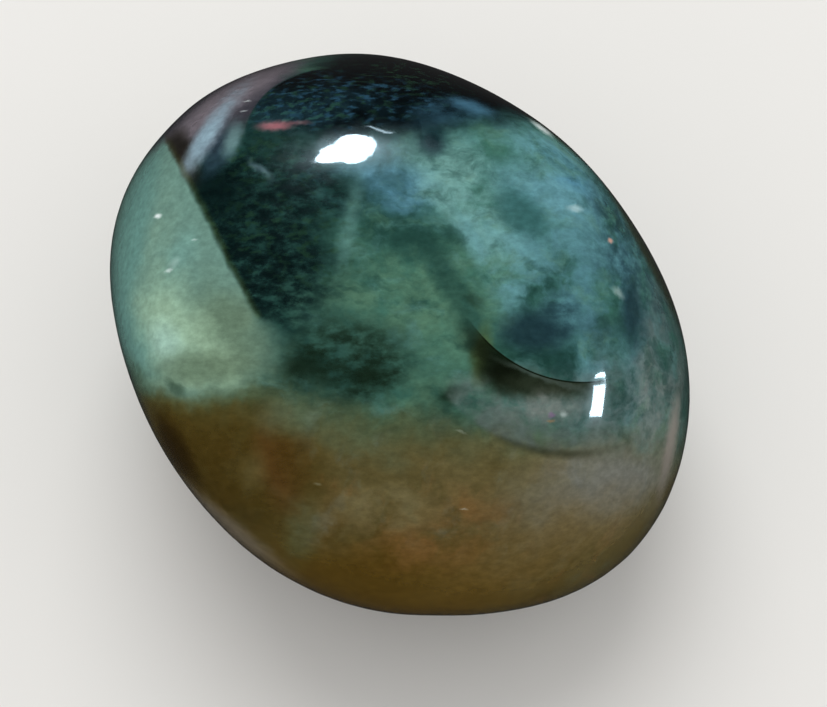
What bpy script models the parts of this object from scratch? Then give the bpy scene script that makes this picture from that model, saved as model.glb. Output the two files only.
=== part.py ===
"""A tumbled moss agate: one polished pebble, lying on the flat spot worn into its underside.

Metres, +Z up. The origin is on the surface that the stone rests on, under the middle of its box.
X runs along the stone's longest way and Y across it.
"""

import math

import bmesh
import bpy
from mathutils import Vector, noise

MM = 0.001
COLLECTION = "tumbled_stone"
NODE = "stone"

# The worn faces of the chunk that the stone was tumbled from. Each row is the way that a face looks,
# as azimuth from +X and rise above the horizon in degrees, and its distance from the middle in mm.
GIRDLE_FACES = (
    (37, 0, 14.0),
    (62, 12, 12.2),
    (82, 17, 10.8),
    (106, 22, 12.9),
    (130, 25, 14.3),
    (165, 22, 13.8),
    (190, 12, 16.7),
    (217, 0, 14.2),
    (245, -10, 12.0),
    (268, -16, 13.7),
    (293, -24, 13.7),
    (325, -24, 14.6),
    (350, -16, 17.3),
    (12, -6, 15.9),
)
CROWN_FACES = (
    (300, 77, 9.0),
    (125, 52, 11.2),
    (30, 42, 12.2),
    (215, 44, 12.6),
    (305, 30, 12.9),
    (350, 36, 13.2),
)
UNDERSIDE_FACES = (
    (0, -90, 9.0),
    (85, -20, 12.2),
    (120, -38, 12.2),
    (165, -35, 12.8),
    (210, -48, 11.6),
    (300, -58, 11.0),
    (40, -48, 11.4),
)
EDGE_SHARPNESS = 9  # the higher it is, the less the tumbling has rounded the edges between the faces

FLAT_SPOT_DEPTH = 0.07 * MM  # how much of the underside is worn flat

# The polish leaves long, faint waves in the surface.
WAVE_HEIGHT = 0.10 * MM
WAVE_LENGTH = 6.5 * MM

# A healed fracture crosses the stone and shows as a shallow groove along a plane.
SEAM_FACES = (64, 12)  # azimuth and rise of the plane's normal, in degrees
SEAM_OFFSET = -5.1 * MM
SEAM_DEPTH = 0.07 * MM
SEAM_HALF_WIDTH = 0.60 * MM

# A shell-shaped chip that the tumbling has nearly worn away: a long, shallow hollow.
CHIP_AT = (346, 44)  # azimuth and rise of its middle, in degrees
CHIP_LENGTH = 4.6 * MM
CHIP_WIDTH = 2.0 * MM
CHIP_TURN = -54  # degrees from level, about the line from the stone's middle
CHIP_DEPTH = 0.10 * MM

SPHERE_LEVEL = 5  # 5120 triangles


def clear_scene():
    """Removes every object that the file holds."""
    for item in list(bpy.data.objects):
        bpy.data.objects.remove(item)


def direction(azimuth, rise):
    """The unit vector of an azimuth and a rise, both in degrees."""
    turn = math.radians(azimuth)
    lift = math.radians(rise)
    return Vector(
        (
            math.cos(turn) * math.cos(lift),
            math.sin(turn) * math.cos(lift),
            math.sin(lift),
        )
    )


def worn_chunk(faces):
    """A function that gives the chunk's radius, its edges rounded, along a unit vector."""
    planes = [(direction(azimuth, rise), distance * MM) for azimuth, rise, distance in faces]

    def radius(way):
        total = 0.0
        for normal, distance in planes:
            total += max(0.0, way.dot(normal) / distance) ** EDGE_SHARPNESS
        return total ** (-1 / EDGE_SHARPNESS)

    return radius


def seam_cut(point):
    """How deep the healed fracture's groove is at a point of the surface."""
    across = (point.dot(direction(*SEAM_FACES)) - SEAM_OFFSET) / SEAM_HALF_WIDTH
    return SEAM_DEPTH * math.exp(-across * across)


def chip_cut(point):
    """How deep the chip's hollow is at a point of the surface."""
    outward = direction(*CHIP_AT)
    if point.dot(outward) <= 0:
        return 0.0
    level = Vector((0, 0, 1)).cross(outward).normalized()
    upward = outward.cross(level)
    turn = math.radians(CHIP_TURN)
    along = math.cos(turn) * point.dot(level) + math.sin(turn) * point.dot(upward)
    across = math.cos(turn) * point.dot(upward) - math.sin(turn) * point.dot(level)
    spread = (2 * along / CHIP_LENGTH) ** 2 + (2 * across / CHIP_WIDTH) ** 2
    return CHIP_DEPTH * math.exp(-spread * spread)


def make_stone():
    """One closed pebble: a sphere pushed out to the worn chunk's surface, then marked and set down."""
    radius = worn_chunk(GIRDLE_FACES + CROWN_FACES + UNDERSIDE_FACES)
    shape = bmesh.new()
    bmesh.ops.create_icosphere(shape, subdivisions=SPHERE_LEVEL, radius=1.0)
    for vertex in shape.verts:
        way = vertex.co.normalized()
        point = way * radius(way)
        wave = WAVE_HEIGHT * noise.noise(point / WAVE_LENGTH)
        vertex.co = point + way * (wave - seam_cut(point) - chip_cut(point))

    rest_level = min(vertex.co.z for vertex in shape.verts) + FLAT_SPOT_DEPTH
    for vertex in shape.verts:
        vertex.co.z = max(vertex.co.z, rest_level)

    middle_x = middle([vertex.co.x for vertex in shape.verts])
    middle_y = middle([vertex.co.y for vertex in shape.verts])
    bmesh.ops.translate(shape, verts=shape.verts, vec=(-middle_x, -middle_y, -rest_level))

    mesh = bpy.data.meshes.new(NODE)
    shape.to_mesh(mesh)
    shape.free()
    mesh.shade_smooth()
    return bpy.data.objects.new(NODE, mesh)


def middle(values):
    """Half way between the lowest and the highest value."""
    return (min(values) + max(values)) / 2


def polished_agate():
    """Deep bottle green chalcedony with a wet polish."""
    material = bpy.data.materials.new("polished_moss_agate")
    material.use_nodes = True
    shader = material.node_tree.nodes["Principled BSDF"]
    shader.inputs["Base Color"].default_value = (0.075, 0.13, 0.10, 1.0)
    shader.inputs["Roughness"].default_value = 0.06
    shader.inputs["Metallic"].default_value = 0.0
    shader.inputs["IOR"].default_value = 1.54
    return material


def main():
    clear_scene()
    collection = bpy.data.collections.new(COLLECTION)
    bpy.context.scene.collection.children.link(collection)
    stone = make_stone()
    stone.data.materials.append(polished_agate())
    collection.objects.link(stone)


main()
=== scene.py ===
"""The looks of a tumbled moss agate: the wet polish, and the moss, haze and clear chalcedony under it.

The markings are laid out on the side of the stone that the photo shows. Its axes there are `right`
and `up`, as in the photo, and `out`, towards the camera. A marking's middle is named by the pixel
of the 827 x 707 photo where it shows, its size is in millimetres, and the stone's own surface says
how far out it lies. Every marking is a solid blob in the stone, every arc a cylinder along `out`
and the straight seam a plane, so they go on round the sides. Between them the stone's body is made
of noise in space, and so is most of its back.
"""

import math
from collections import namedtuple

import bpy
from mathutils import Color, Matrix, Vector
from mathutils.bvhtree import BVHTree
from mathutils.interpolate import poly_3d_calc

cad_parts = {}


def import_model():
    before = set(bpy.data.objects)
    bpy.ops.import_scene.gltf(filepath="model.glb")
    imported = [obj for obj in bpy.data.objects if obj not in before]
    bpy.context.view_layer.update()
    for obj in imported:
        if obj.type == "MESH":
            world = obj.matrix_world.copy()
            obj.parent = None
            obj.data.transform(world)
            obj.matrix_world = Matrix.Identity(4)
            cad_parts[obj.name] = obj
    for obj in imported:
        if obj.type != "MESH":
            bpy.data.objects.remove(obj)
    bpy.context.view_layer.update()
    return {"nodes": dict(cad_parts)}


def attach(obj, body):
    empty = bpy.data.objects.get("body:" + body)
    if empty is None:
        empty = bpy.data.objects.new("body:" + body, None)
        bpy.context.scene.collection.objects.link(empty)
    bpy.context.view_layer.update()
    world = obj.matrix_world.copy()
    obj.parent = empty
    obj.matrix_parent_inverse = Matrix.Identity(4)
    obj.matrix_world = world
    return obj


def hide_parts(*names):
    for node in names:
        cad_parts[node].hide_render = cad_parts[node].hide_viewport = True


MM = 0.001
NODE = "stone"

# The photo and its camera
PHOTO_SIZE = (827, 707)
PIXELS_PER_MM = 22.4  # at the aim point
VIEW_AZIMUTH = math.radians(37)
VIEW_ELEVATION = math.radians(65)
VIEW_DISTANCE = 90 * MM
AIM = Vector((0, 0, 8.8 * MM))
AIM_PIXEL = (393.6, 337.0)  # where the photo shows the aim point
SENSOR_WIDTH = 36.0
ENDLESS = 1000.0  # mm, the half length of an arc's cylinder
EDGE_PIXELS = 12  # how far inwards the stone is looked for, from a pixel just off it

RIGHT = Vector((math.cos(VIEW_AZIMUTH), math.sin(VIEW_AZIMUTH), 0))
OUT = Vector(
    (
        math.sin(VIEW_AZIMUTH) * math.cos(VIEW_ELEVATION),
        -math.cos(VIEW_AZIMUTH) * math.cos(VIEW_ELEVATION),
        math.sin(VIEW_ELEVATION),
    )
)
UP = OUT.cross(RIGHT)

# The fine surface over the CAD solid
SURFACE_STEP = 0.4 * MM
ROUNDING_STEPS = 25
SUBDIVISIONS = 1
SMOOTHING_STEPS = 4

# The tones of the stone, as the eye reads them, in sRGB from 0 to 255
TONES = {
    "teal": (58, 102, 90),
    "teal_deep": (32, 64, 58),
    "khaki": (88, 126, 102),
    "blue_green": (84, 134, 162),
    "blue": (78, 138, 184),
    "haze": (120, 168, 160),
    "haze_blue": (102, 154, 165),
    "sea_green": (90, 138, 138),
    "slate": (84, 131, 142),
    "slate_dark": (30, 52, 60),
    "shadow_green": (56, 100, 100),
    "moss": (11, 27, 27),
    "moss_under": (32, 60, 56),
    "moss_green": (24, 40, 29),
    "black_green": (6, 15, 18),
    "fleck_blue": (42, 76, 96),
    "fleck_green": (36, 62, 44),
    "celadon": (106, 142, 130),
    "celadon_light": (160, 192, 162),
    "celadon_bright": (164, 204, 192),
    "celadon_shade": (102, 148, 140),
    "celadon_olive": (98, 120, 97),
    "olive": (76, 60, 18),
    "olive_mid": (102, 92, 54),
    "olive_dark": (36, 25, 2),
    "olive_bottom": (98, 76, 24),
    "olive_pale": (130, 108, 62),
    "olive_black": (20, 26, 16),
    "olive_brown": (56, 58, 40),
    "olive_shade": (42, 50, 38),
    "olive_green": (72, 90, 66),
    "rust": (150, 108, 62),
    "rust_dark": (108, 68, 34),
    "shadow_blue": (14, 40, 44),
    "grey_green": (112, 126, 120),
    "grey_olive": (126, 116, 78),
    "grey": (134, 138, 132),
    "grey_dark": (92, 106, 103),
    # painted reflection: the pink grey of the surroundings at the lower edges
    "reflected_pink_grey": (160, 150, 142),
    "mauve_brown": (44, 41, 37),
    "mauve_deep": (66, 66, 74),
    "mauve_grey": (146, 136, 144),
    "mauve_blue": (46, 66, 78),
    "mauve_light": (156, 186, 202),
    "mauve_green": (112, 146, 146),
    "pink": (178, 108, 116),
    "peach": (226, 168, 150),
    # painted iridescence: the colours at the edges of a crack's glint
    "painted_iridescent_violet": (150, 96, 160),
    "painted_iridescent_orange": (196, 132, 86),
    # painted highlight: the white of small glints in pits and at the edge
    "painted_glint": (232, 246, 244),
    "gold_green": (84, 92, 44),
}

EYE_GAMMA = 2.2  # turns a tone as the eye reads it into light

# A marking: the pixel of its middle, its half length and half width in mm, how far its length is
# turned from the photo's right in degrees, its tone, how strongly it covers, the texture that
# breaks it up, and the share of its half sizes over which its edge fades.
Marking = namedtuple("Marking", "at size turn tone strength texture edge", defaults=("even", 0.95))

# Light and dark clouds of the green body, and a painted bluish glow under the main highlight
BODY = (
    Marking((395, 300), (4.0, 2.6), -5, "khaki", 0.75, "cloud"),
    Marking((438, 352), (2.6, 1.6), -20, "khaki", 0.5),
    Marking((335, 300), (1.9, 1.3), -30, "khaki", 0.45, "cloud"),
    Marking((385, 250), (3.0, 1.4), 0, "teal_deep", 0.30, "wisp"),
    Marking((402, 232), (1.9, 0.9), -12, "teal_deep", 0.8, "even", 1.4),
    # painted glow: the bluish halo under the main highlight, here and in the next marking
    Marking((375, 188), (3.0, 1.1), -6, "blue_green", 0.8, "cloud", 1.2),
    Marking((402, 178), (2.2, 1.3), -20, "slate", 0.8, "cloud", 1.2),
    Marking((545, 180), (4.6, 3.0), -50, "sea_green", 0.85, "cloud"),
    Marking((600, 255), (3.4, 2.6), -62, "slate", 0.9, "cloud"),
    Marking((625, 350), (3.6, 2.8), -80, "slate", 0.8, "cloud"),
    Marking((668, 372), (3.8, 1.5), -84, "grey_dark", 0.9, "cloud"),
    Marking((640, 425), (2.6, 2.0), -70, "grey", 0.55, "cloud"),
    Marking((597, 345), (2.4, 0.6), 86, "haze_blue", 0.35, "cloud"),
    Marking((266, 382), (2.6, 1.1), -12, "olive_green", 0.8, "cloud", 1.2),
    Marking((320, 335), (2.2, 0.8), -28, "khaki", 0.5, "cloud"),
    Marking((372, 408), (3.4, 1.1), -6, "olive_green", 0.6, "cloud", 1.3),
)

# The haze is feathered along its length, and only lies right of the contact.
HAZE = (
    Marking((468, 205), (3.4, 1.5), -64, "haze", 0.78, "cloud"),
    Marking((505, 262), (3.0, 1.5), -48, "haze_blue", 0.7, "cloud"),
    Marking((472, 236), (2.4, 1.1), -62, "haze", 0.5, "fibre"),
    Marking((500, 300), (1.8, 1.1), 20, "haze_blue", 0.45, "cloud"),
    Marking((548, 194), (2.0, 0.9), -14, "haze_blue", 0.8, "even", 1.4),
    Marking((562, 168), (1.6, 0.6), -45, "blue", 0.4, "cloud"),
    Marking((556, 160), (2.4, 0.9), -48, "haze_blue", 0.5, "fibre"),
)

# Moss and small clouds in the green body, and a little of the painted bluish glow under the main
# highlight
MOSS_AND_PAINTED_GLOW = (
    Marking((258, 222), (4.6, 3.0), -60, "moss_under", 0.9, "even"),
    Marking((248, 230), (4.4, 2.6), -60, "moss", 1.0, "mottle", 0.8),
    Marking((268, 270), (2.5, 1.2), -62, "moss", 0.8, "mottle", 1.1),
    Marking((264, 200), (4.4, 2.6), -50, "fleck_green", 0.6, "flecks", 0.9),
    Marking((213, 188), (1.4, 0.9), -50, "moss", 0.8, "even", 1.3),
    Marking((455, 292), (2.6, 0.5), -64, "teal_deep", 0.55, "even", 1.2),
    Marking((347, 188), (1.0, 0.5), -6, "teal_deep", 1.0, "even", 1.3),
    # painted glow: a touch of the bluish halo under the main highlight
    Marking((392, 183), (1.3, 0.6), -10, "blue_green", 0.4, "even", 1.6),
    Marking((298, 190), (2.2, 1.7), -20, "moss", 0.8, "mottle"),
    Marking((352, 222), (1.6, 0.35), 84, "haze", 0.4, "even", 1.6),
    Marking((345, 360), (2.9, 1.4), -8, "moss_under", 0.6, "even", 1.4),
    Marking((312, 367), (1.2, 0.8), -10, "moss_green", 0.8, "mottle", 1.2),
    Marking((309, 368), (0.7, 0.5), -10, "moss_green", 0.75, "even", 1.2),
    Marking((350, 350), (1.9, 1.0), -10, "moss_green", 0.8, "mottle", 1.2),
    Marking((372, 378), (1.4, 0.8), 12, "moss_green", 1.0, "mottle", 1.2),
    Marking((374, 378), (0.7, 0.45), 12, "moss_green", 0.7),
    Marking((453, 397), (0.5, 0.3), 24, "moss_green", 0.8, "even", 1.4),
    Marking((476, 302), (0.40, 0.26), -30, "moss_green", 0.4, "even", 1.6),
    Marking((434, 142), (0.55, 0.6), 0, "shadow_blue", 1.0, "even", 1.5),
    Marking((420, 116), (1.6, 0.75), -10, "slate_dark", 1.0, "even", 1.1),
    Marking((536, 333), (1.3, 0.8), 10, "slate_dark", 0.8, "even", 1.1),
    Marking((560, 322), (1.1, 0.8), 60, "slate_dark", 0.6, "mottle"),
    Marking((633, 312), (0.7, 1.3), 0, "slate_dark", 0.8, "even", 1.5),
    Marking((612, 262), (1.4, 0.8), -50, "slate_dark", 0.4, "mottle", 1.3),
    Marking((578, 238), (1.3, 0.8), -40, "haze_blue", 0.4, "even", 1.5),
    Marking((524, 214), (1.2, 0.8), -40, "shadow_green", 0.75, "even", 1.1),
    Marking((612, 216), (1.5, 0.4), -50, "slate_dark", 0.4, "mottle"),
    Marking((548, 194), (1.2, 0.5), -14, "haze_blue", 0.6, "even", 1.6),
    Marking((602, 330), (0.9, 0.6), 0, "slate_dark", 0.4, "even", 1.5),
    Marking((612, 395), (1.5, 1.0), -70, "grey_dark", 0.5, "mottle"),
    Marking((640, 262), (3.6, 1.0), -62, "slate_dark", 0.4, "mottle"),
    Marking((655, 265), (4.6, 0.35), -63, "olive_brown", 0.8, "even", 1.2),
    Marking((532, 112), (3.2, 0.3), -38, "olive_brown", 0.8, "even", 1.2),
)

# The clear part below, from olive brown on its left to grey on its right, with a painted reflection
# along its lower left edge
LOWER = (
    Marking((215, 455), (4.4, 2.6), -60, "olive", 0.8),
    Marking((618, 474), (4.2, 2.0), 14, "grey", 0.95, "even", 1.4),
    Marking((500, 470), (3.8, 1.4), 4, "grey_olive", 0.7, "cloud"),
    Marking((366, 594), (7.0, 2.2), -4, "olive_bottom", 0.95),
    Marking((540, 550), (4.4, 1.5), 22, "olive_pale", 0.6, "even", 1.4),
    Marking((282, 456), (1.9, 0.8), -84, "rust_dark", 0.6, "even", 1.4),
    Marking((440, 532), (2.8, 1.5), 24, "rust", 0.60, "cloud"),
    Marking((346, 520), (1.8, 1.4), 10, "rust", 0.30, "cloud"),
    Marking((395, 510), (2.0, 0.9), 10, "grey_olive", 1.0, "cloud"),
    Marking((296, 414), (1.1, 0.8), 20, "celadon_olive", 1.0, "even", 1.4),
    Marking((304, 530), (1.7, 0.6), 74, "celadon_olive", 0.4, "cloud", 1.5),
    Marking((255, 474), (0.8, 0.5), 70, "grey_olive", 0.4, "even", 1.5),
    Marking((300, 464), (1.6, 0.9), -60, "olive", 0.6, "even", 1.4),
    Marking((362, 448), (2.0, 0.6), -18, "celadon_olive", 0.4, "cloud"),
    Marking((425, 435), (2.2, 0.8), -12, "olive_green", 0.40, "cloud"),
    Marking((178, 450), (1.6, 0.5), -56, "olive_dark", 0.6, "even", 1.2),
    # painted reflection: a pink grey line along the lower left edge
    Marking((222, 522), (3.6, 0.5), -46, "reflected_pink_grey", 0.6, "even", 1.4),
)

# The light and dark clouds of the pale lobe
LOBE_MARKINGS = (
    Marking((124, 260), (6.0, 1.0), 87, "celadon_shade", 0.8),
    Marking((134, 345), (2.4, 0.8), -68, "celadon_shade", 0.8),
    Marking((148, 412), (2.2, 0.9), -55, "olive_green", 0.8),
    Marking((238, 345), (2.6, 1.7), -60, "celadon_olive", 0.9, "even", 1.1),
    Marking((170, 330), (2.1, 1.2), -66, "celadon_light", 0.8, "even", 1.7),
    Marking((214, 352), (1.5, 0.7), -60, "celadon_light", 0.6, "cloud", 1.5),
    Marking((168, 346), (1.0, 0.6), -60, "celadon_bright", 0.6, "even", 1.6),
    Marking((162, 232), (1.6, 0.7), 70, "celadon_light", 0.25, "cloud"),
    Marking((184, 252), (0.8, 0.5), 60, "haze", 0.4, "even", 1.6),
    Marking((200, 386), (2.4, 0.3), -8, "celadon_light", 0.6, "cloud", 1.4),
    Marking((202, 371), (1.9, 0.7), -10, "celadon_olive", 0.8, "even", 1.4),
    Marking((178, 390), (0.45, 0.2), -35, "moss_green", 0.6, "even", 1.5),
)

# The mauve glow and the streaks of the clear rim, partly its own tones and partly painted reflections
# along the edge
RIM_TONES_AND_REFLECTIONS = (
    # partly painted reflection: the pale mauve glow along the edge
    Marking((236, 92), (4.4, 0.85), 36, "mauve_grey", 0.8, "even", 1.1),
    Marking((179, 156), (1.8, 0.75), -62, "mauve_brown", 1.0),
    Marking((222, 152), (1.2, 0.5), 66, "mauve_blue", 0.8),
    Marking((206, 140), (1.6, 0.42), 64, "mauve_light", 1.0, "even", 1.6),
    Marking((234, 140), (0.8, 0.35), 80, "mauve_green", 0.8, "even", 1.5),
    Marking((262, 171), (0.6, 0.16), -50, "mauve_light", 0.4, "even", 1.6),
    Marking((226, 108), (1.9, 0.45), 54, "mauve_light", 0.6, "veil", 1.4),
)

# The near-black of the dome, with its specks and flecks, and a painted bluish glow of the highlight
# low in it
DOME_MARKINGS = (
    Marking((350, 78), (5.4, 3.2), -3, "black_green", 1.0, "even", 0.5),
    Marking((430, 82), (4.4, 1.9), -22, "black_green", 1.0, "even", 0.8),
    # painted glow: the bluish halo of the main highlight in the dome's lower part
    Marking((312, 108), (3.4, 1.0), -4, "slate_dark", 0.8, "cloud", 1.2),
    Marking((330, 100), (4.6, 1.4), -4, "fleck_blue", 0.8, "specks"),
    Marking((300, 114), (2.0, 0.7), -4, "shadow_green", 0.6, "flecks"),
    Marking((340, 84), (5.0, 2.0), 0, "fleck_green", 0.6, "flecks"),
    Marking((415, 72), (3.0, 0.7), -20, "fleck_green", 0.7, "flecks"),
    Marking((472, 107), (0.9, 0.32), -18, "blue_green", 0.6, "even", 1.7),
    Marking((450, 112), (1.6, 0.6), 0, "blue_green", 0.5, "cloud"),
)

# Small spots: a lens of pink, a peach speck, and painted light: glints of pits that catch the light,
# the glint of an iridescent crack, and painted reflections at the outline
PAINTED_GLINTS_AND_SPOTS = (
    Marking((276, 127), (0.65, 0.2), 4, "pink", 0.8),
    Marking((300, 124), (0.45, 0.10), 6, "pink", 0.4),
    Marking((612, 242), (0.13, 0.09), -20, "peach", 0.8),
    # painted highlights: glints in pits, laid on as white paint
    Marking((248, 102), (0.18, 0.04), 0, "painted_glint", 0.6),
    Marking((245, 112), (0.16, 0.04), -8, "painted_glint", 0.6),
    Marking((159, 217), (0.18, 0.10), 0, "painted_glint", 0.95),
    Marking((170, 272), (0.18, 0.08), 12, "painted_glint", 0.7),
    Marking((176, 264), (0.26, 0.16), 30, "painted_glint", 0.2),
    Marking((196, 241), (0.13, 0.05), 0, "painted_glint", 0.4),
    Marking((577, 210), (0.30, 0.13), -10, "painted_glint", 0.4),
    Marking((620, 294), (0.30, 0.15), -35, "painted_glint", 0.4),
    Marking((463, 434), (0.20, 0.04), -16, "painted_glint", 0.3),
    Marking((466, 511), (0.14, 0.04), 0, "painted_glint", 0.4),
    Marking((320, 486), (0.14, 0.05), -10, "painted_glint", 0.3),
    # the iridescent crack: a painted glint, with painted violet and orange at its edges
    Marking((566, 416), (0.16, 0.12), 10, "painted_glint", 0.35),
    Marking((554, 417), (0.14, 0.10), 0, "painted_iridescent_violet", 0.45),
    Marking((553, 423), (0.15, 0.06), 6, "painted_iridescent_orange", 0.5),
    # painted reflection: the light along the upper right edge
    Marking((543, 129), (0.5, 0.16), -40, "painted_glint", 1.0),
    # painted reflection: a long pink grey glow along the right edge
    Marking((672, 444), (2.0, 0.28), 79, "reflected_pink_grey", 0.8),
)

SPOT_EDGE = 1.5
DEPTH_SHARE = 1.5  # of its half length, how far a marking goes on into the stone
LOOSE_WIDTH = 1.0  # mm of half width, above which a marking drifts with the loose places
STRENGTH_STEP = 0.2  # to which the markings' strengths are rounded
TURN_STEP = 20  # degrees, to which the markings' turns are rounded

# How places drift: the drift's waves per mm, and its reach in mm
WARPS = {"loose": (0.45, 2.0), "tight": (1.8, 0.45), "fine": (4.5, 0.22)}
SEAM_WARP = (0.5, 0.5)
NOISE_MIDDLE = (0.5, 0.5, 0.5)

# A noise: its waves per mm, how many finer ones it holds, and how strong those are
Noise = namedtuple("Noise", "scale detail roughness", defaults=(4.0, 0.55))
CLOUD = Noise(0.6, 5.0, 0.6)
WISP = Noise(2.2, 4.0, 0.62)
FLECK = Noise(3.4, 2.0, 0.5)
FIBRE = Noise(1.5, 4.0, 0.6)
VEIL = Noise(0.22)
BODY_DRIFT = Noise(0.8, 4.0, 0.6)
LOWER_DRIFT = Noise(0.75)
GRAIN = Noise(3.5, 3.0, 0.6)
WAVES = Noise(0.9, 2.0, 0.5)
FLOOR_GRAIN = Noise(40.0)

# How noises are drawn out: along which turn from the photo's right, in degrees, and how much
WISP_STRETCH = (0, 1.6)
FIBRE_STRETCH = (-60, 4.0)
BODY_STRETCH = (-8, 1.7)
LOWER_STRETCH = (70, 1.8)
GRAIN_STRETCH = (0, 1.5)

# The textures that break up markings: the values of their noise between which they fade in
TEXTURE_FADES = {
    "cloud": (0.26, 0.64),
    "wisp": (0.42, 0.62),
    "flecks": (0.50, 0.68),
    "specks": (0.46, 0.70),
    "mottle": (0.70, 0.32),
    "veil": (0.24, 0.74),
    "fibre": (0.36, 0.60),
}

# A tone that a noise lays on: the noise's values where it starts and where it covers most, and how
# strongly it does there
Layer = namedtuple("Layer", "tone low high strength")
BODY_VEILS = (
    Layer("teal_deep", 0.54, 0.36, 1.0),
    Layer("khaki", 0.55, 0.72, 0.8),
)
BODY_LAYERS = (
    Layer("khaki", 0.50, 0.70, 0.40),
    Layer("sea_green", 0.52, 0.72, 0.40),
    Layer("teal_deep", 0.50, 0.68, 0.45),
)
LOWER_LAYERS = (
    Layer("grey_green", 0.50, 0.70, 0.45),
    Layer("olive", 0.52, 0.70, 0.40),
    Layer("rust", 0.54, 0.72, 0.35),
)

# The healed fracture that cuts off the pale lobe, straight from pixel to pixel
SEAM_PIXELS = ((163, 133), (258, 318))
SEAM_EDGE = 0.16  # mm to either side of it, between which the lobe starts
SEAM_END_PIXEL = (260, 322)  # below it the lobe melts into the body
SEAM_MELTING = (0.4, -1.2)  # mm above that pixel, where the melting starts and is complete
SEAM_MELTED_EDGE = 1.3  # mm that the melting adds to the seam's edge
FRINGE_WIDTH = 0.22  # mm of the gold green line along it
FRINGE_STRENGTH = 0.25
FRINGE_END = 0.3  # mm of added edge, where the line is gone
LOBE = Marking((182, 250), (6.4, 5.4), 112, "celadon", 1.0, "even", 0.3)

# The rounded front of the dark dome, whose left side is crisp: its centre, its radius in mm, and
# between which shares of the radius it ends
DOME_ARC = ((334, 144), 3.75)
DOME_FADE = (0.975, 1.01)
DOME_RIGHT = Marking((430, 82), (5.0, 2.2), -22, "black_green", 1.0, "even", 0.6)
# The clear rim outside the dome
RIM = Marking((215, 108), (4.6, 1.9), 48, "mauve_deep", 1.0, "even", 0.5)

# The contact where the haze starts, likewise an arc
CONTACT_ARC = ((305, 355), 8.1)
CONTACT_FADE = (0.93, 1.03)

# The level where the green body gives way to the clear olive brown below
OLIVE_LEVEL_PIXEL = (400, 424)
OLIVE_TILT = 0.12  # how much the level falls to the right
OLIVE_FADE = (1.3, -1.7)  # mm above it, where the change starts and is complete
CLARITY = 0.25  # of the lower part and the rim

# The old crack under the worn chip, dark olive below a crisp black line
CRACK_ARC = ((587, 247), 5.55)
CRACK_DEPTH_PIXEL = (530, 371)  # the surface there gives the depth of this arc and the contact's
CRACK_FADE = (0.985, 1.0)  # of the radius, where the dark olive starts and is complete
CRACK_LINE_SHARE = 0.995  # of the radius, where the line runs
CRACK_LINE_WIDTH = 0.05
CRACK_GAP_WIDTH = 0.2
CRACK_COAT = 0.0  # the polish that is left in the gap
CRACK_LINE = Marking((545, 366), (2.9, 1.6), -20, "olive_black", 1.0, "even", 0.3)
CRACK_END = Marking((484, 356), (1.0, 0.35), 80, "gold_green", 0.6, "even", 1.5)  # its upper end
CRACK_MARKINGS = (
    Marking((498, 358), (1.5, 0.6), -50, "olive_black", 0.8, "even", 1.4),
    Marking((509, 378), (1.1, 0.65), -18, "olive_black", 1.0, "even", 1.3),
    Marking((556, 387), (2.0, 0.5), -8, "olive_shade", 1.0, "even", 1.3),
    Marking((548, 379), (1.9, 0.16), -14, "grey_dark", 0.4),
    Marking((545, 408), (1.6, 0.6), -8, "grey", 0.6, "cloud", 1.3),
)

# The grey lens below the crack, which ends at an arc with a faint brown line
LENS = Marking((536, 416), (3.7, 1.9), -6, "grey_dark", 0.8, "cloud", 0.5)
LENS_ARC = ((578, 285), 6.9)
LENS_DEPTH_PIXEL = (540, 440)
LENS_FADE = (1.02, 0.98)  # of the radius
LENS_LINE = Marking((560, 446), (2.2, 1.0), -6, "olive_brown", 0.6, "even", 1.3)
LENS_LINE_WIDTH = 0.3

POLISH_ROUGHNESS = 0.04
WAVE_HEIGHT = 0.004 * MM  # of the waves that the tumbling left in the polish
BODY_ROUGHNESS = (0.16, 0.26)  # under the polish, at its smoothest and roughest
BODY_GLOSS = 0.10
CHALCEDONY_IOR = 1.54
GRAIN_RANGE = (0.3, 0.7)  # the grain's values that count as its lowest and highest
GRAIN_SHADE = (0.92, 1.08)  # how much it darkens and lightens there

FLOOR_TONE = (236, 234, 230)
FLOOR_DARKEST = 0.985  # the share of that tone in its darkest places
FLOOR_ROUGHNESS = 0.9
FLOOR_WIDTH = 3.0
FLOOR_CELLS = 8

# The lamps. The big soft one gives the light. The others only show in the polish, where the photo
# has a reflection: its middle, the end of its half width and the end of its half height.
SOFT_LAMP_PIXEL = (351, 148)
SOFT_LAMP_DISTANCE = 0.7
SOFT_LAMP_SIZE = 0.55
SOFT_LAMP_RADIANCE = 2.2
REFLECTION_DISTANCE = 0.5
LAMP_COLOUR = (0.64, 0.86, 1.0)  # of the ones that only show in the polish
REFLECTIONS = (
    ("main", "ELLIPSE", ((349, 148), (373, 148), (349, 135)), 36.0),
    ("tail", "ELLIPSE", ((326, 157.5), (315.5, 163), (323.5, 152.5)), 36.0),
    ("bridge", "ELLIPSE", ((335, 151), (323, 157.5), (331, 144)), 36.0),
    ("streak", "RECTANGLE", ((374, 130), (386, 134), (374, 129)), 12.0),
    ("strip", "RECTANGLE", ((600, 396), (605.8, 396), (599, 374)), 36.0),
)
ROOM_COLOUR = (1.0, 1.0, 1.0, 1.0)
ROOM_LIGHT = 0.74
ROOM_GLOSS = 0.02  # how bright the room shows in the polish

# The numbers of a Mix node's sockets, for colours and for plain values
COLOUR_UNDER, COLOUR_OVER, COLOUR_RESULT = 6, 7, 2
VALUE_UNDER, VALUE_OVER, VALUE_RESULT = 2, 3, 0
VALUE_OPERATIONS = ("DOT_PRODUCT", "DISTANCE")  # those of Vector Math that give a plain value


def seen_from():
    """The place of the photo's camera."""
    return AIM + OUT * VIEW_DISTANCE


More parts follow.
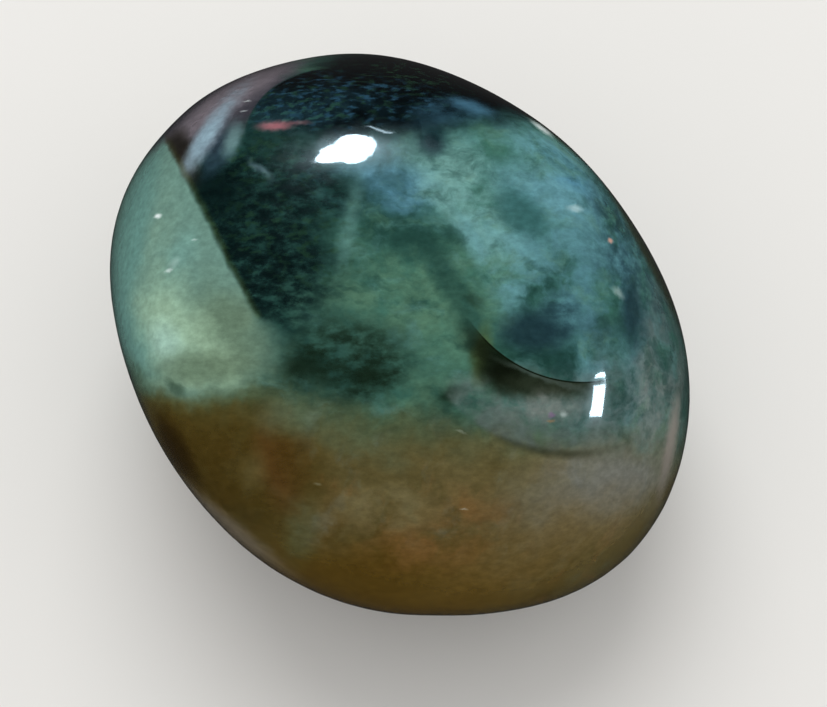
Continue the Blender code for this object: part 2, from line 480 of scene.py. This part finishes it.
def pixel_offset(pixel):
    """How far a pixel is from the aim point's, right and up, as a share of the distance."""
    focal = PIXELS_PER_MM * VIEW_DISTANCE / MM
    return (pixel[0] - AIM_PIXEL[0]) / focal, (AIM_PIXEL[1] - pixel[1]) / focal


def ray_through(pixel):
    """The direction of the photo's line of sight through a pixel."""
    right, up = pixel_offset(pixel)
    return (RIGHT * right + UP * up - OUT).normalized()


def make_camera():
    """The photo's camera: it looks straight along the view, moved sideways as the framing needs."""
    data = bpy.data.cameras.new("photo_camera")
    data.sensor_width = SENSOR_WIDTH
    data.lens = PIXELS_PER_MM * VIEW_DISTANCE / MM * SENSOR_WIDTH / PHOTO_SIZE[0]
    data.clip_start = VIEW_DISTANCE / 10
    data.clip_end = FLOOR_WIDTH * 2
    middle = (PHOTO_SIZE[0] / 2, PHOTO_SIZE[1] / 2)
    right, up = pixel_offset(middle)
    camera = bpy.data.objects.new("photo_camera", data)
    camera.location = seen_from() + (RIGHT * right + UP * up) * VIEW_DISTANCE
    camera.rotation_euler = Matrix((RIGHT, UP, OUT)).transposed().to_euler()
    bpy.context.scene.collection.objects.link(camera)
    bpy.context.scene.camera = camera


def make_surface(solid):
    """A fine, smooth surface over the faceted solid."""
    mesh = solid.data.copy()
    mesh.name = "polished_stone"
    mesh.materials.clear()
    surface = bpy.data.objects.new("polished_stone", mesh)
    bpy.context.scene.collection.objects.link(surface)
    even = surface.modifiers.new("even", "REMESH")
    even.mode = "VOXEL"
    even.voxel_size = SURFACE_STEP
    even.use_smooth_shade = True
    surface.modifiers.new("rounder", "SMOOTH").iterations = ROUNDING_STEPS
    finer = surface.modifiers.new("finer", "SUBSURF")
    finer.levels = SUBDIVISIONS
    finer.render_levels = SUBDIVISIONS
    surface.modifiers.new("smoother", "SMOOTH").iterations = SMOOTHING_STEPS
    return surface


def surface_finder(surface):
    """A function that gives the point of the surface that a pixel shows, and its smooth normal.

    For a pixel just off the stone it gives those of the first one on it, towards the aim.
    """
    bpy.context.view_layer.update()
    made = surface.evaluated_get(bpy.context.evaluated_depsgraph_get())
    mesh = made.to_mesh()
    places = [vertex.co.copy() for vertex in mesh.vertices]
    normals = [vertex.normal.copy() for vertex in mesh.vertices]
    faces = [tuple(face.vertices) for face in mesh.polygons]
    made.to_mesh_clear()
    tree = BVHTree.FromPolygons(places, faces)

    def find(pixel):
        place = Vector(pixel)
        inwards = (Vector(AIM_PIXEL) - place).normalized()
        for step in range(EDGE_PIXELS):
            point, _, index, _ = tree.ray_cast(seen_from(), ray_through(place + inwards * step))
            if point is not None:
                shares = poly_3d_calc([places[corner] for corner in faces[index]], point)
                parts = (normals[corner] * share for corner, share in zip(faces[index], shares))
                return point, sum(parts, Vector((0, 0, 0))).normalized()
        raise ValueError(f"the photo shows no stone at {pixel}")

    return find


def in_photo_axes(vector):
    """A vector's parts along the photo's right, up and out."""
    return Vector((vector.dot(RIGHT), vector.dot(UP), vector.dot(OUT)))


def face_place(point):
    """A point's place in the photo's axes, in mm."""
    return in_photo_axes(point) / MM


def at_depth(pixel, out):
    """The place on a pixel's line of sight that is so far out, in mm in the photo's axes."""
    start = face_place(seen_from())
    step = in_photo_axes(ray_through(pixel))
    return start + step * ((out - start.z) / step.z)


def linear(tone):
    """An sRGB tone, from 0 to 255, as a linear colour with alpha."""
    return [*Color([value / 255 for value in tone]).from_srgb_to_scene_linear(), 1.0]


def seen_tone(name):
    """A tone's shares as the eye reads them, with alpha."""
    return [value / 255 for value in TONES[name]] + [1.0]


def node(tree, kind, inputs, **settings):
    """A new node with its settings, and its inputs linked or set."""
    made = tree.nodes.new(kind)
    for name, value in settings.items():
        setattr(made, name, value)
    for socket, value in inputs.items():
        if isinstance(value, bpy.types.NodeSocket):
            tree.links.new(value, made.inputs[socket])
        else:
            made.inputs[socket].default_value = value
    return made


def math_node(tree, operation, *values):
    """The result of a Math node."""
    return node(tree, "ShaderNodeMath", dict(enumerate(values)), operation=operation).outputs[0]


def vector_node(tree, operation, *values):
    """The result of a Vector Math node."""
    made = node(tree, "ShaderNodeVectorMath", dict(enumerate(values)), operation=operation)
    return made.outputs["Value" if operation in VALUE_OPERATIONS else "Vector"]


def apart(tree, value, middle):
    """How far a value is from a middle one, to either side."""
    return math_node(tree, "ABSOLUTE", math_node(tree, "SUBTRACT", value, middle))


def fade(tree, value, low, high, top=1.0):
    """0 where a value is at low, the top where it is at high, smooth between. low may be larger."""
    inputs = {"Value": value, "From Min": low, "From Max": high, "To Max": top}
    return node(tree, "ShaderNodeMapRange", inputs, interpolation_type="SMOOTHSTEP").outputs[0]


def ramp(tree, value, ends, results):
    """The first result where a value is at its first end, the second at its second, even between."""
    inputs = {
        "Value": value,
        "From Min": ends[0],
        "From Max": ends[1],
        "To Min": results[0],
        "To Max": results[1],
    }
    return node(tree, "ShaderNodeMapRange", inputs).outputs[0]


def mix_colours(tree, mask, under, over, blend="MIX"):
    """The colour over laid on the colour under, where the mask is."""
    inputs = {0: mask, COLOUR_UNDER: under, COLOUR_OVER: over}
    made = node(tree, "ShaderNodeMix", inputs, data_type="RGBA", blend_type=blend)
    return made.outputs[COLOUR_RESULT]


def mix_values(tree, mask, under, over):
    """The value over laid on the value under, where the mask is."""
    inputs = {0: mask, VALUE_UNDER: under, VALUE_OVER: over}
    return node(tree, "ShaderNodeMix", inputs).outputs[VALUE_RESULT]


def noise(tree, place, kind):
    """A Noise Texture node of a kind."""
    inputs = {
        "Vector": place,
        "Scale": kind.scale,
        "Detail": kind.detail,
        "Roughness": kind.roughness,
    }
    return node(tree, "ShaderNodeTexNoise", inputs)


def noise_value(tree, place, kind):
    """A kind of noise, from 0 to 1."""
    return noise(tree, place, kind).outputs["Fac"]


def noise_parts(tree, place, kind):
    """Three noises of a kind that have nothing to do with each other, from 0 to 1."""
    colour = noise(tree, place, kind).outputs["Color"]
    return node(tree, "ShaderNodeSeparateColor", {0: colour}).outputs


def warp(tree, place, scale, reach):
    """The place, shifted this way and that by up to about half the reach, in mm."""
    drift = noise(tree, place, Noise(scale)).outputs["Color"]
    centred = vector_node(tree, "SUBTRACT", drift, NOISE_MIDDLE)
    return vector_node(tree, "MULTIPLY_ADD", centred, (reach, reach, reach), place)


def place_on_face(tree):
    """The shaded point's place in the photo's axes, in mm, fixed to the stone."""
    place = node(tree, "ShaderNodeTexCoord", {}).outputs["Object"]
    parts = [vector_node(tree, "DOT_PRODUCT", place, axis / MM) for axis in (RIGHT, UP, OUT)]
    return node(tree, "ShaderNodeCombineXYZ", dict(enumerate(parts))).outputs[0]


def turned_about_out(tree, place, turn):
    """The place in axes that are turned about `out`, by degrees from the photo's right."""
    inputs = {"Vector": place, "Angle": -math.radians(turn)}
    return node(tree, "ShaderNodeVectorRotate", inputs, rotation_type="Z_AXIS").outputs[0]


def distance_in(tree, place, middle, sizes):
    """How far a place is from a middle, as a share of the half sizes."""
    shares = Vector(1 / size for size in sizes)
    scaled = vector_node(tree, "MULTIPLY", place, shares)
    return vector_node(tree, "DISTANCE", scaled, shares * middle)


def stretched(tree, place, turn, factor):
    """The place, with everything there drawn out along a turn about `out`."""
    return vector_node(tree, "MULTIPLY", turned_about_out(tree, place, turn), (1 / factor, 1, 1))


def make_textures(tree, place, loose):
    """The textures that break up the markings, each from 0 to 1."""
    drawn = stretched(tree, place, *WISP_STRETCH)
    wisp = noise_value(tree, drawn, WISP)
    flecks = noise_parts(tree, drawn, FLECK)
    fibre = noise_value(tree, stretched(tree, place, *FIBRE_STRETCH), FIBRE)
    noises = {
        "cloud": noise_value(tree, loose, CLOUD),
        "wisp": wisp,
        "flecks": flecks[0],
        "specks": flecks[1],
        "mottle": wisp,
        "veil": fibre,
        "fibre": fibre,
    }
    return {name: fade(tree, value, *TEXTURE_FADES[name]) for name, value in noises.items()}


class Paint:
    """The stone's colour, clarity, roughness and polish, laid on from the body up."""

    def __init__(self, tree, find):
        self.tree = tree
        self.find = find
        place = place_on_face(tree)
        self.places = {"fixed": place}
        for kind, drift in WARPS.items():
            self.places[kind] = warp(tree, place, *drift)
        self.turned = {}
        self.textures = make_textures(tree, place, self.places["loose"])
        self.colour = seen_tone("teal")
        self.clarity = 0.0
        self.roughness = BODY_ROUGHNESS[0]
        self.coat = 1.0

    def turned_place(self, kind, turn):
        """A kind of place, in axes turned about `out` to the nearest step."""
        step = round(turn / TURN_STEP) * TURN_STEP
        if step == 0:
            return self.places[kind], 0
        if (kind, step) not in self.turned:
            self.turned[kind, step] = turned_about_out(self.tree, self.places[kind], step)
        return self.turned[kind, step], step

    def height(self, tilt=0.0):
        """How high a place is, in mm, above a line that falls by the tilt to the right."""
        return vector_node(self.tree, "DOT_PRODUCT", self.places["loose"], (tilt, 1.0, 0.0))

    def lay(self, mask, tone):
        """Lays a tone where a mask is."""
        self.colour = mix_colours(self.tree, mask, self.colour, seen_tone(tone))

    def clear(self, mask, clarity):
        """Makes the stone as clear as said where a mask is."""
        self.clarity = mix_values(self.tree, mask, self.clarity, clarity)

    def both(self, first, second):
        """Where both masks are. Either may be a plain number."""
        if isinstance(first, float) and isinstance(second, float):
            return first * second
        if second == 1.0:
            return first
        if first == 1.0:
            return second
        return math_node(self.tree, "MULTIPLY", first, second)

    def cover(self, layers, noises, within=1.0):
        """Lays each layer's tone where its noise says, only within a mask if there is one."""
        for layer, value in zip(layers, noises):
            mask = fade(self.tree, value, layer.low, layer.high, layer.strength)
            self.lay(self.both(mask, within), layer.tone)

    def blob(self, marking, kind=None, top=1.0):
        """The mask of a marking: a solid blob whose middle is on the stone's surface."""
        length, width = marking.size
        if kind is None:
            kind = "loose" if width > LOOSE_WIDTH else "tight"
        place, turn = self.turned_place(kind, marking.turn)
        middle = face_place(self.find(marking.at)[0])
        middle.rotate(Matrix.Rotation(-math.radians(turn), 3, "Z"))
        far = distance_in(self.tree, place, middle, (length, width, DEPTH_SHARE * length))
        return fade(self.tree, far, 1 + marking.edge / 2, 1 - marking.edge / 2, top)

    def mark(self, markings, within=1.0, kind=None):
        """Lays markings in their order, only within a mask if there is one."""
        tops = {}
        for marking in markings:
            key = marking.texture, round(marking.strength / STRENGTH_STEP)
            if key not in tops:
                strength = key[1] * STRENGTH_STEP
                if marking.texture == "even":
                    tops[key] = self.both(within, strength)
                else:
                    tops[key] = self.both(self.both(self.textures[marking.texture], within), strength)
            self.lay(self.blob(marking, kind, tops[key]), marking.tone)

    def circle(self, arc, depth_pixel):
        """How far a place is from an arc's centre, seen from the photo, as a share of its radius."""
        centre, radius = arc
        middle = at_depth(centre, face_place(self.find(depth_pixel)[0]).z)
        return distance_in(self.tree, self.places["fixed"], middle, (radius, radius, ENDLESS))


def seam_side(paint):
    """How far a place is on the pale lobe's side of the healed fracture, in mm."""
    first, second = (ray_through(pixel) for pixel in SEAM_PIXELS)
    across = first.cross(second).normalized()
    if across.dot(RIGHT) > 0:
        across = -across
    offset = seen_from().dot(across) / MM
    drifted = warp(paint.tree, paint.places["fixed"], *SEAM_WARP)
    along = vector_node(paint.tree, "DOT_PRODUCT", drifted, in_photo_axes(across))
    return math_node(paint.tree, "SUBTRACT", along, offset)


def paint_body(paint):
    """The green body: deep and light clouds, a painted bluish glow under the main highlight, and the
    haze right of its contact.
    """
    tree = paint.tree
    loose = paint.places["loose"]
    veil = noise_value(tree, loose, VEIL)
    paint.cover(BODY_VEILS, (veil, veil))
    paint.mark(BODY)
    paint.mark(HAZE, fade(tree, paint.circle(CONTACT_ARC, CRACK_DEPTH_PIXEL), *CONTACT_FADE))
    paint.cover(BODY_LAYERS, noise_parts(tree, stretched(tree, loose, *BODY_STRETCH), BODY_DRIFT))


def paint_lower_part(paint):
    """The clear part below, with its rusty and grey clouds."""
    tree = paint.tree
    level = face_place(paint.find(OLIVE_LEVEL_PIXEL)[0])
    start = level.y + OLIVE_TILT * level.x
    below = fade(tree, paint.height(OLIVE_TILT), *(start + rise for rise in OLIVE_FADE))
    paint.lay(below, "olive_mid")
    drawn = stretched(tree, paint.places["loose"], *LOWER_STRETCH)
    paint.cover(LOWER_LAYERS, noise_parts(tree, drawn, LOWER_DRIFT), below)
    paint.mark(LOWER, below)
    paint.clear(below, CLARITY)


def paint_rim_and_dome(paint):
    """The near-black dome at the top with its crisp left side and a painted glow low in it, and the
    clear rim outside it with its partly painted reflections.
    """
    tree = paint.tree
    outside = fade(tree, paint.circle(DOME_ARC, DOME_ARC[0]), *DOME_FADE)
    rim = paint.both(paint.blob(RIM), outside)
    paint.lay(rim, RIM.tone)
    paint.clear(rim, CLARITY)
    paint.mark(RIM_TONES_AND_REFLECTIONS)
    inside = math_node(tree, "SUBTRACT", 1.0, outside)
    paint.mark(DOME_MARKINGS, math_node(tree, "MAXIMUM", inside, paint.blob(DOME_RIGHT)))


def paint_lobe(paint):
    """The pale celadon lobe beyond the healed fracture, with the fracture's gold green fringe."""
    tree = paint.tree
    side = seam_side(paint)
    shape = paint.blob(LOBE)
    end = face_place(paint.find(SEAM_END_PIXEL)[0]).y
    start, finish = (end + rise for rise in SEAM_MELTING)
    melted = fade(tree, paint.height(), start, finish, SEAM_MELTED_EDGE)
    edge = math_node(tree, "ADD", melted, SEAM_EDGE)
    within = paint.both(fade(tree, side, math_node(tree, "MULTIPLY", edge, -1.0), edge), shape)
    paint.lay(within, LOBE.tone)
    paint.clear(within, 0.0)
    paint.mark(LOBE_MARKINGS, within)
    line = fade(tree, apart(tree, side, -FRINGE_WIDTH / 2), FRINGE_WIDTH, 0.0)
    fringe = paint.both(line, paint.both(shape, fade(tree, melted, FRINGE_END, 0.0)))
    paint.lay(paint.both(fringe, FRINGE_STRENGTH), "gold_green")


def paint_lens(paint):
    """The grey lens below the crack, with the faint brown line where it ends."""
    tree = paint.tree
    far = paint.circle(LENS_ARC, LENS_DEPTH_PIXEL)
    paint.mark((LENS,), fade(tree, far, *LENS_FADE))
    line = fade(tree, apart(tree, far, 1.0), LENS_LINE_WIDTH / LENS_ARC[1], 0.0)
    paint.mark((LENS_LINE,), line)


def paint_crack(paint):
    """The old crack: dark olive under a crisp black line, and a gap in the polish along it."""
    tree = paint.tree
    far = paint.circle(CRACK_ARC, CRACK_DEPTH_PIXEL)
    paint.mark((CRACK_END,))
    paint.mark(CRACK_MARKINGS, fade(tree, far, *CRACK_FADE))
    off = apart(tree, far, CRACK_LINE_SHARE)
    along = paint.blob(CRACK_LINE)
    line = fade(tree, off, CRACK_LINE_WIDTH / CRACK_ARC[1], 0.0)
    paint.lay(paint.both(line, along), CRACK_LINE.tone)
    reach = CRACK_GAP_WIDTH / CRACK_ARC[1]
    gap = paint.both(fade(tree, off, reach, reach / 2), along)
    paint.coat = mix_values(tree, gap, paint.coat, CRACK_COAT)


def add_grain(paint):
    """Lightens and darkens the paint in fine streaks, and makes the light ones rougher."""
    tree = paint.tree
    grain = noise_value(tree, stretched(tree, paint.places["fixed"], *GRAIN_STRETCH), GRAIN)
    shade = ramp(tree, grain, GRAIN_RANGE, GRAIN_SHADE)
    paint.colour = mix_colours(tree, 1.0, paint.colour, shade, blend="MULTIPLY")
    paint.roughness = ramp(tree, grain, GRAIN_RANGE, BODY_ROUGHNESS)


def paint_stone(tree, find):
    """All the paint of the stone, from its body up to its small spots and painted glints."""
    paint = Paint(tree, find)
    paint_body(paint)
    paint_lower_part(paint)
    paint.mark(MOSS_AND_PAINTED_GLOW)
    paint_rim_and_dome(paint)
    paint_lobe(paint)
    paint_lens(paint)
    paint_crack(paint)
    add_grain(paint)
    # the small spots last, most of them painted glints and painted reflections
    paint.mark([spot._replace(edge=SPOT_EDGE) for spot in PAINTED_GLINTS_AND_SPOTS], kind="fine")
    return paint


def polish_waves(paint):
    """The normal of a polish with faint, broad waves."""
    height = noise_value(paint.tree, paint.places["fixed"], WAVES)
    return node(paint.tree, "ShaderNodeBump", {"Height": height, "Distance": WAVE_HEIGHT}).outputs[0]


def agate_material(find):
    """The stone's material: a wet polish over cloudy, partly clear chalcedony."""
    material = bpy.data.materials.new("polished_moss_agate")
    material.use_nodes = True
    tree = material.node_tree
    paint = paint_stone(tree, find)
    waves = polish_waves(paint)
    light = node(tree, "ShaderNodeGamma", {"Color": paint.colour, "Gamma": EYE_GAMMA}).outputs[0]
    shader = tree.nodes["Principled BSDF"]
    tree.links.new(light, shader.inputs["Base Color"])
    tree.links.new(paint.roughness, shader.inputs["Roughness"])
    tree.links.new(paint.clarity, shader.inputs["Transmission Weight"])
    tree.links.new(paint.coat, shader.inputs["Coat Weight"])
    tree.links.new(waves, shader.inputs["Normal"])
    tree.links.new(waves, shader.inputs["Coat Normal"])
    shader.inputs["IOR"].default_value = CHALCEDONY_IOR
    shader.inputs["Specular IOR Level"].default_value = BODY_GLOSS
    shader.inputs["Coat Roughness"].default_value = POLISH_ROUGHNESS
    shader.inputs["Coat IOR"].default_value = CHALCEDONY_IOR
    return material


def floor_material():
    """A plain pale floor's material, with the faintest unevenness in its tone."""
    material = bpy.data.materials.new("pale_floor")
    material.use_nodes = True
    tree = material.node_tree
    place = node(tree, "ShaderNodeTexCoord", {}).outputs["Object"]
    grain = noise_value(tree, place, FLOOR_GRAIN)
    darkest = linear([value * FLOOR_DARKEST for value in FLOOR_TONE])
    tone = mix_colours(tree, grain, darkest, linear(FLOOR_TONE))
    shader = tree.nodes["Principled BSDF"]
    tree.links.new(tone, shader.inputs["Base Color"])
    shader.inputs["Roughness"].default_value = FLOOR_ROUGHNESS
    return material


def make_floor():
    """A plain pale floor, which is kept out of the stone's polish."""
    cells = {"x_subdivisions": FLOOR_CELLS, "y_subdivisions": FLOOR_CELLS}
    bpy.ops.mesh.primitive_grid_add(**cells, size=FLOOR_WIDTH)
    floor = bpy.context.object
    floor.name = "floor"
    floor.data.materials.append(floor_material())
    floor.visible_glossy = False


def mirrored_view(find, pixel):
    """The surface's point at a pixel, and the direction that it mirrors into the photo's camera."""
    point, normal = find(pixel)
    to_camera = (seen_from() - point).normalized()
    return point, 2 * normal.dot(to_camera) * normal - to_camera


def add_area_lamp(name, location, axes, shape, size, radiance):
    """An area lamp. Its axes are its own x and y, and the way back from what it lights."""
    data = bpy.data.lights.new(name, "AREA")
    data.shape = shape
    data.size, data.size_y = size
    data.energy = radiance * math.pi * size[0] * size[1]
    lamp = bpy.data.objects.new(name, data)
    lamp.location = location
    lamp.rotation_euler = Matrix(axes).transposed().to_euler()
    bpy.context.scene.collection.objects.link(lamp)
    return lamp


def add_soft_lamp(find):
    """The big soft lamp, in the direction that the photo's main reflection gives."""
    point, back = mirrored_view(find, SOFT_LAMP_PIXEL)
    across = back.cross(UP).normalized()
    axes = (across, back.cross(across), back)
    place = point + back * SOFT_LAMP_DISTANCE
    size = (SOFT_LAMP_SIZE, SOFT_LAMP_SIZE)
    lamp = add_area_lamp("soft_lamp", place, axes, "DISK", size, SOFT_LAMP_RADIANCE)
    lamp.visible_glossy = False


def add_reflection(find, name, shape, pixels, radiance):
    """A lamp that only shows in the polish. Its pixels are its middle, its side and its top."""
    point, back = mirrored_view(find, pixels[0])
    to_side = mirrored_view(find, pixels[1])[1] - back
    to_top = mirrored_view(find, pixels[2])[1] - back
    across = (to_side - to_side.dot(back) * back).normalized()
    axes = (across, back.cross(across), back)
    height = (to_top - to_top.dot(back) * back - to_top.dot(across) * across).length
    size = (2 * REFLECTION_DISTANCE * to_side.length, 2 * REFLECTION_DISTANCE * height)
    lamp = add_area_lamp(name, point + back * REFLECTION_DISTANCE, axes, shape, size, radiance)
    lamp.data.color = LAMP_COLOUR
    lamp.visible_diffuse = False
    lamp.visible_transmission = False


def make_room():
    """A pale room that gives light, and hardly shows in the polish."""
    world = bpy.data.worlds.new("studio")
    world.use_nodes = True
    tree = world.node_tree
    glossy = node(tree, "ShaderNodeLightPath", {}).outputs["Is Glossy Ray"]
    strength = mix_values(tree, glossy, ROOM_LIGHT, ROOM_GLOSS)
    tree.nodes["Background"].inputs["Color"].default_value = ROOM_COLOUR
    tree.links.new(strength, tree.nodes["Background"].inputs["Strength"])
    bpy.context.scene.world = world


def main():
    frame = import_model()
    make_camera()
    stone = make_surface(frame["nodes"][NODE])
    find = surface_finder(stone)
    stone.data.materials.append(agate_material(find))
    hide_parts(NODE)
    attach(stone, "root")
    make_floor()
    add_soft_lamp(find)
    for name, shape, pixels, radiance in REFLECTIONS:
        add_reflection(find, name, shape, pixels, radiance)
    make_room()
    bpy.context.scene.view_settings.view_transform = "Standard"


main()
